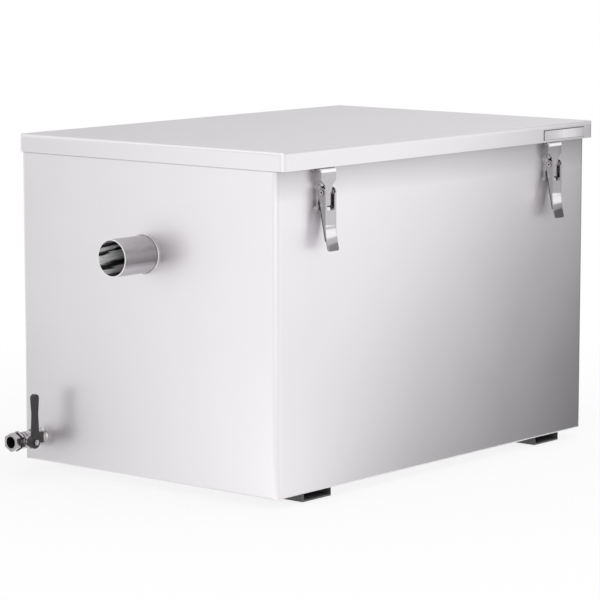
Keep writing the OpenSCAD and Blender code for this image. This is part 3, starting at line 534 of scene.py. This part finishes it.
def panel(name, corners, level, n=36, faced=False):
    """A reflector card that only steel mirrors: a grid of n steps between four corners, whose
    brightness is level(point). A faced card is clear from the side."""
    a, b, c, d = (Vector(p) for p in corners)
    verts, faces = [], []
    for j in range(n + 1):
        for i in range(n + 1):
            u, v = i / n, j / n
            verts.append((a * (1 - u) + b * u) * (1 - v) + (d * (1 - u) + c * u) * v)
    for j in range(n):
        for i in range(n):
            k = j * (n + 1) + i
            faces.append((k, k + 1, k + n + 2, k + n + 1))
    me = bpy.data.meshes.new(name)
    me.from_pydata(verts, [], faces)
    glow = me.attributes.new("glow", "FLOAT", "POINT")
    glow.data.foreach_set("value", [level(v) for v in verts])
    o = bpy.data.objects.new(name, me)
    scene.collection.objects.link(o)
    mat = bpy.data.materials.new(name)
    t = Tree(mat)
    at = t.add("ShaderNodeAttribute", attribute_name="glow")
    shader = t.put(t.add("ShaderNodeEmission"), Strength=at.outputs["Fac"]).outputs["Emission"]
    if faced:
        slant = t.put(t.add("ShaderNodeLayerWeight"), Blend=0.5)
        mix = t.add("ShaderNodeMixShader")
        t.put(mix, Fac=t.range(slant.outputs["Facing"], 0.0, 1.0, 0.08, 0.16))
        t.feed(mix.inputs[1], shader)
        t.feed(mix.inputs[2], t.add("ShaderNodeBsdfTransparent").outputs["BSDF"])
        shader = mix.outputs["Shader"]
    t.surface(shader)
    me.materials.append(mat)
    o.visible_camera = o.visible_diffuse = o.visible_shadow = False
    o.visible_transmission = o.visible_volume_scatter = False


def upright(a, b, low, high):
    """Corners of a card that stands between two heights on the line from a to b."""
    return [(a[0], a[1], low), (b[0], b[1], low), (b[0], b[1], high), (a[0], a[1], high)]


def flat(*points):
    """Corners of a card that lies just above the floor."""
    return [(p[0], p[1], 0.001) for p in points]


def steps(x, table):
    """Straight lines between (x, value) pairs."""
    if x <= table[0][0]:
        return table[0][1]
    for (x0, v0), (x1, v1) in zip(table, table[1:]):
        if x <= x1:
            return v0 + (v1 - v0) * (x - x0) / (x1 - x0)
    return table[-1][1]


# What the front and left walls mirror into the camera, along the mirrored line of sight
FRONT_RAY = Vector((AIM.x, -AIM.y, AIM.z))
LEFT_RAY = Vector((-AIM.x, AIM.y, AIM.z))
FRONT_LEVELS = [(-0.70, 1.16), (-0.45, 1.21), (-0.32, 1.0), (-0.20, 0.69), (-0.05, 0.465), (0.1, 0.325),
                (0.3, 0.17), (0.5, 0.115)]
LEFT_LEVELS = [(-0.75, 1.0), (-0.50, 1.3), (-0.31, 1.56), (-0.1, 1.18), (0.25, 0.765), (0.6, 0.66)]
BACK_LEVELS = [(0.5, 0.62), (0.6, 0.65), (0.75, 0.74), (0.95, 0.80), (1.3, 0.90)]


def at_front(p):
    """Where the front wall mirrors a card's point."""
    return p - FRONT_RAY * ((p.y - FRONT_Y) / FRONT_RAY.y)


def front_level(p):
    """Level of the card that the front wall mirrors, lower at the top right."""
    q = at_front(p)
    high = steps(q.z, [(0.33, 0.0), (0.45, 1.0)]) * steps(q.x, [(0.0, 0.0), (0.25, 1.0)])
    return (1 - 0.11 * high) * steps(q.x - q.z, FRONT_LEVELS)


def strip_level(p):
    """The front card's level, raised in a narrow strip that the right latch mirrors."""
    near = steps(abs(at_front(p).x - 0.2925), [(0.012, 1.0), (0.021, 0.0)])
    near *= steps(p.z, [(0.26, 0.0), (0.29, 1.0), (0.385, 1.0), (0.41, 0.0)])
    return front_level(p) * (1 - near) + 0.92 * near


def left_level(p):
    """Level of the card that the left wall mirrors, even above the lid."""
    q = p - LEFT_RAY * ((p.x - LEFT_X) / LEFT_RAY.x)
    level = steps(q.y, LEFT_LEVELS) * steps(q.z, [(-0.1, 0.78), (0.1, 0.90), (0.4, 1.0)])
    high = steps(p.z, [(0.6, 0.0), (0.9, 1.0)])
    return level * (1 - high) + high


def back_level(p):
    """Level of the card that the lid's top mirrors."""
    across = 0.768 * p.y - 0.640 * p.x
    return steps(p.z, BACK_LEVELS) * steps(across, [(-0.6, 1.06), (0.0, 0.98), (0.5, 0.84)])


def fold_level(p):
    """Level of the card above the back, which the lid's rounded folds mirror."""
    level = steps(p.y - 0.85 * (p.z - 0.47), [(-0.25, 1.9), (0.0, 1.45), (0.25, 1.05)])
    return level * steps(p.x, [(-0.7, 1.0), (-0.2, 0.75), (0.5, 0.6)])


def area(name, loc, aim, size, level):
    """A soft lamp that steel doesn't mirror."""
    data = bpy.data.lights.new(name, "AREA")
    data.shape = "RECTANGLE"
    data.size, data.size_y = size
    data.energy = math.pi * size[0] * size[1] * level
    o = bpy.data.objects.new(name, data)
    o.location = loc
    look(o, Vector(aim) - Vector(loc))
    o.visible_camera = o.visible_glossy = False
    scene.collection.objects.link(o)


def make_creases():
    """Small near cards that make the bright and grey bands on the levers' creased tips."""
    for name, x, ray, high, bands in (
            ("left_crease", -0.258, (0.771, -0.637, 0), 0.3638,
             [(0.3490, 0.46), (0.3505, 1.0), (0.3550, 1.0), (0.3564, 1.92)]),
            ("right_crease", 0.258, (0.816, -0.578, 0), 0.3662,
             [(0.3508, 0.22), (0.3522, 0.60), (0.3570, 0.66), (0.3584, 1.8)])):
        ray = Vector(ray)
        across = ray.cross(Vector((0, 0, -1)))
        c = Vector((x, FRONT_Y - 0.0165, 0)) + ray * 0.04 - across * 0.001
        d = across * 0.0078
        panel(name, upright(c - d, c + d, 0.3377, high), lambda p, bands=bands: steps(p.z, bands), 24,
              faced=True)


def make_cards():
    side, away = Vector((0.640, 0.768, 0)), Vector((0.768, -0.640, 0))
    mid = Vector((0.46, -0.61, 0))
    a, b = mid - side * 0.75, mid + side * 0.55
    panel("right_card", upright(a, b, 0.0, 1.1), front_level, 90)
    c, d = mid + side * 0.187 - away * 0.004, side * 0.020
    panel("right_strip", upright(c - d, c + d, 0.242, 0.429), strip_level, 32)
    make_creases()
    panel("floor_card", flat((-0.33, -0.236), (0.45, -0.236), b, a), front_level, 60)
    panel("left_card", upright((-1.5, 2.3), (-1.5, 0.1), 0.0, 1.5), left_level)
    panel("left_floor_card", flat((-0.36, 0.5), (-0.36, -0.3), (-1.5, 0.1), (-1.5, 2.3)), left_level)
    near_y = BACK_Y + 0.003
    panel("back_floor_card", flat((-0.6, near_y), (0.6, near_y), (0.9, 2.2), (-0.9, 2.2)),
          lambda p: steps(p.y + 0.25 * p.x, [(0.1, 0.52), (0.7, 0.80), (1.6, 1.0)]), 24)
    panel("right_floor_card", flat((0.352, -0.2), (0.352, 0.5), (2.2, 0.8), (2.2, -0.2)),
          lambda p: steps(p.x + 0.35 * p.y, [(0.25, 0.52), (0.8, 0.80), (1.7, 1.0)]), 24)
    panel("back_card", upright((0.1, 1.91), (1.9, -0.25), 0.0, 1.5), back_level, 20)
    panel("eye_card", upright((-2.9, -0.95), (-1.5, -2.65), 0.0, 1.4), lambda p: 1.45, 4)
    panel("fold_card", [(-1.5, 1.7, 1.5), (0.6, 1.9, 1.5), (0.5, 0.9, 2.3), (-1.4, 0.8, 2.3)],
          fold_level, 24)


def make_studio():
    make_world()
    make_floor()
    make_cards()
    centre = (0, 0, 0.3)
    area("key", (-2.6, -3.0, 2.2), centre, (2.4, 1.6), 1.5)
    area("fill_top", (0.2, -0.6, 2.6), centre, (1.8, 1.8), 1.2)


make_camera()
make_studio()

scene.view_settings.view_transform = "Standard"
